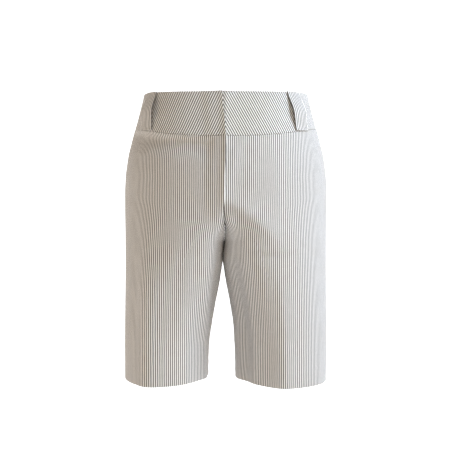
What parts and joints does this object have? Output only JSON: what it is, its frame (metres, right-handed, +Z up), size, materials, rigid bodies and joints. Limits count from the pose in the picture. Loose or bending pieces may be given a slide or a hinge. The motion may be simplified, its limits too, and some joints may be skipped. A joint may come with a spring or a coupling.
{
  "type": "bermuda shorts",
  "caption": "Tailored knee-length shorts in fine striped cloth, filled out as worn: contoured waistband, lapped fly, belt loops, open waist and turned-up hems.",
  "frame": {"origin": "centre of the waist opening, level with the waistband's top edge at the side seams", "axes": "+Z up, -Y to the front, +X to the wearer's left"},
  "size_m": [0.3508, 0.2604, 0.508],
  "materials": {
    "striped_cloth": "matt, off-white with fine taupe stripes"
  },
  "bodies": {
    "root": {"leg_front_right": "striped_cloth", "waistband_front_right": "striped_cloth", "leg_back_right": "striped_cloth", "waistband_back_right": "striped_cloth", "leg_front_left": "striped_cloth", "waistband_front_left": "striped_cloth", "leg_back_left": "striped_cloth", "waistband_back_left": "striped_cloth", "belt_loop_right": "striped_cloth", "belt_loop_left": "striped_cloth", "belt_loop_back": "striped_cloth"}
  },
  "joints": []
}
